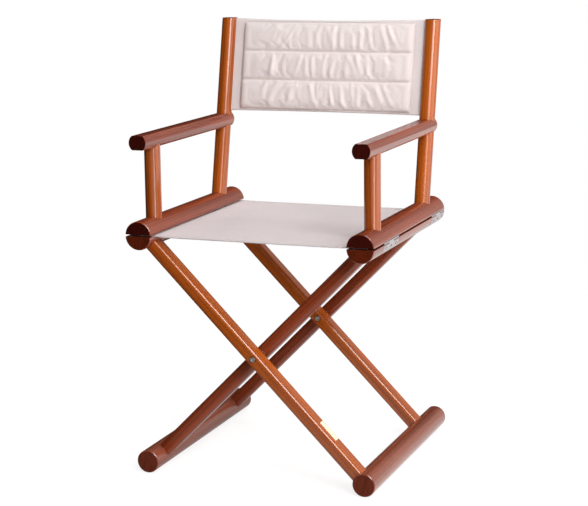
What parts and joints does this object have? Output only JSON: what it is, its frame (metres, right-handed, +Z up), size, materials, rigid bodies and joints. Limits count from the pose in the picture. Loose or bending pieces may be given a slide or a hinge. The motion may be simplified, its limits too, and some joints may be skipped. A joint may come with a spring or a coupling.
{
  "type": "folding chair",
  "caption": "Folding director's armchair: crossed wooden legs under split seat rails, posts with armrests, and a canvas seat and padded canvas back.",
  "frame": {"origin": "centre of the footprint's bounding box, on the floor that the floor rails rest on", "axes": "+Z up, +X across the seat towards the sitter's left hand, and the sitter faces -Y"},
  "size_m": [0.5106, 0.504, 0.88],
  "materials": {
    "teak": "gloss varnish over round-turned teak",
    "steel": "satin stainless steel",
    "dark_steel": "tarnished steel",
    "canvas": "plain-woven ecru canvas",
    "padding": "quilted ecru canvas over thin wadding",
    "plate": "blank cream plate"
  },
  "bodies": {
    "left_arm_frame": {"upper_rail_left": "teak", "front_post_left": "teak", "back_post_left": "teak", "back_post_top_left": "teak", "armrest_left": "teak", "arm_stud_left": "steel", "upper_hinge_leaves_left": "steel", "upper_hinge_screws_left": "dark_steel", "back_rod_left": "steel", "back_canvas": "canvas", "back_pad": "padding"},
    "leg_frame_a": {"lower_rail_left": "teak", "leg_a_front": "teak", "leg_a_back": "teak", "floor_rail_right": "teak", "lower_hinge_leaves_left": "steel", "lower_hinge_screws_left": "dark_steel", "hinge_pins_left": "dark_steel", "pivot_bolts": "dark_steel", "pivot_washers": "dark_steel", "pivot_nuts": "dark_steel", "leg_plate": "plate", "seat_rod_left": "steel", "seat_canvas": "canvas"},
    "leg_frame_b": {"lower_rail_right": "teak", "leg_b_front": "teak", "leg_b_back": "teak", "floor_rail_left": "teak", "lower_hinge_leaves_right": "steel", "lower_hinge_screws_right": "dark_steel", "hinge_pins_right": "dark_steel", "seat_rod_right": "steel"},
    "right_arm_frame": {"upper_rail_right": "teak", "front_post_right": "teak", "back_post_right": "teak", "back_post_top_right": "teak", "armrest_right": "teak", "arm_stud_right": "steel", "upper_hinge_leaves_right": "steel", "upper_hinge_screws_right": "dark_steel", "back_rod_right": "steel"}
  },
  "joints": [
    {"name": "left_rail_hinge", "type": "hinge", "parent": "left_arm_frame", "child": "leg_frame_a", "pos_m": [-0.2527, 0, 0.4845], "axis": [0, 1, 0], "range_deg": [0, 37.5]},
    {"name": "leg_scissor", "type": "hinge", "parent": "leg_frame_a", "child": "leg_frame_b", "pos_m": [0, 0, 0.25038], "axis": [0, -1, 0], "range_deg": [0, 75], "deforming": ["seat_canvas", "back_canvas", "back_pad"]},
    {"name": "right_rail_hinge", "type": "hinge", "parent": "leg_frame_b", "child": "right_arm_frame", "pos_m": [0.2527, 0, 0.4845], "axis": [0, 1, 0], "range_deg": [0, 37.5]}
  ],
  "couplings": [
    {"joint": "left_rail_hinge", "follows": "leg_scissor", "ratio": 0.5},
    {"joint": "right_rail_hinge", "follows": "leg_scissor", "ratio": 0.5}
  ]
}
